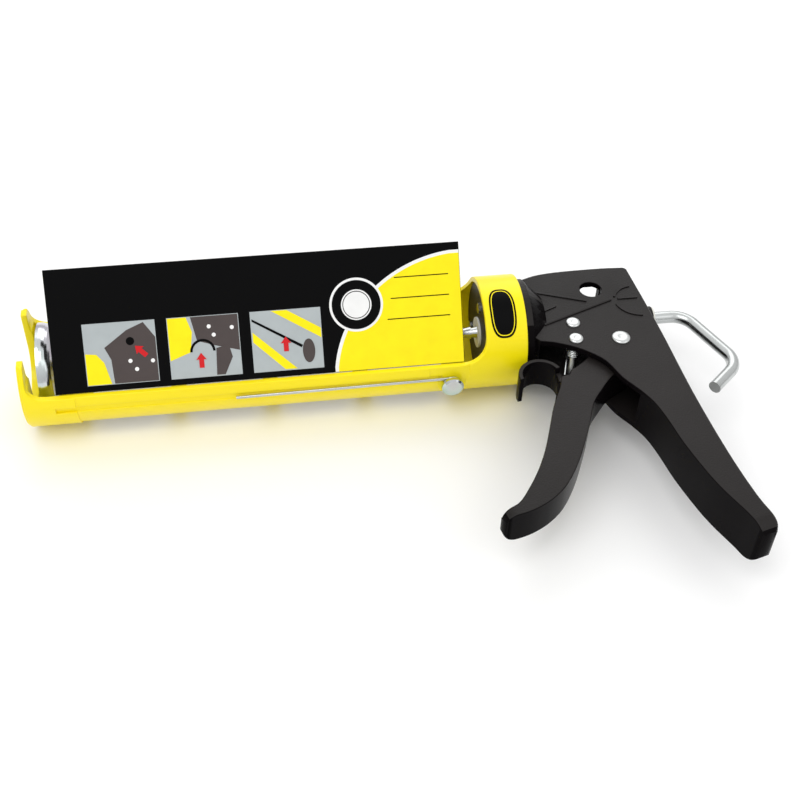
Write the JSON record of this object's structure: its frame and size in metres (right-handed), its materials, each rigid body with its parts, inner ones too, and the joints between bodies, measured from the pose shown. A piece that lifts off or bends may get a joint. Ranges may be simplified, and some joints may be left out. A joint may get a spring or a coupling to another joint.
{
  "type": "caulking gun",
  "caption": "Ratchet caulking gun with a turning yellow skeleton cradle, a toothed push rod with a hooked end, and a black pistol grip with trigger.",
  "frame": {"origin": "on the push rod's axis, where the cradle's collar meets the handle", "axes": "the gun lies on its side; +X points back along the rod from nose to hook, +Y up the handle away from the grip, +Z out of the side that carries the cradle's mouth"},
  "size_m": [0.3603, 0.1867, 0.0832],
  "materials": {
    "yellow_plastic": "semi-gloss moulded",
    "black_plastic": "fine textured",
    "zinc": "bright zinc plated",
    "steel": "plain steel",
    "nylon": "natural nylon",
    "card": "printed, gloss varnish"
  },
  "bodies": {
    "handle": {"handle_body": "black_plastic", "front_plate": "black_plastic", "front_plate_screws": "zinc", "front_bush": "nylon", "rear_bush": "nylon", "trigger_pivot_pin": "zinc", "holding_pawl_pin": "zinc", "spring_pin": "zinc", "return_spring": "zinc", "holding_pawl_spring": "zinc"},
    "cradle": {"cradle": "yellow_plastic", "display_card": "card", "wire_rivet": "zinc"},
    "piercing_wire": {"piercing_wire": "zinc"},
    "rod": {"push_rod": "zinc", "rod_hook": "zinc", "piston_disc": "zinc", "piston_nut": "steel", "piston_washer": "steel"},
    "trigger": {"trigger": "black_plastic", "drive_pawl_pin": "zinc", "drive_pawl_spring": "zinc", "cutter_blade": "steel", "blade_rivets": "zinc"},
    "drive_pawl": {"drive_pawl": "steel"},
    "holding_pawl": {"holding_pawl": "steel"}
  },
  "joints": [
    {"name": "cradle_turn", "type": "hinge", "parent": "handle", "child": "cradle", "pos_m": [0, 0, 0], "axis": [1, 0, 0], "continuous": true},
    {"name": "wire_fold", "type": "hinge", "parent": "cradle", "child": "piercing_wire", "pos_m": [-0.0355, -0.0296, -0.007], "axis": [0, -1, 0], "range_deg": [0, 90]},
    {"name": "rod_slide", "type": "slide", "parent": "handle", "child": "rod", "axis": [1, 0, 0], "range_m": [0, 0.208]},
    {"name": "trigger_pull", "type": "hinge", "parent": "handle", "child": "trigger", "pos_m": [0.051, -0.027, 0], "axis": [0, 0, 1], "range_deg": [0, 20], "stiffness_Nm_per_rad": 0.8, "springref_deg": -11.46, "deforming": ["return_spring"]},
    {"name": "drive_pawl_lift", "type": "hinge", "parent": "trigger", "child": "drive_pawl", "pos_m": [0.048, -0.014, 0], "axis": [0, 0, 1], "range_deg": [0, 8], "stiffness_Nm_per_rad": 0.02, "springref_deg": -5.73},
    {"name": "holding_pawl_lift", "type": "hinge", "parent": "handle", "child": "holding_pawl", "pos_m": [0.0294, -0.013, 0], "axis": [0, 0, 1], "range_deg": [0, 12], "stiffness_Nm_per_rad": 0.02, "springref_deg": -5.73}
  ]
}
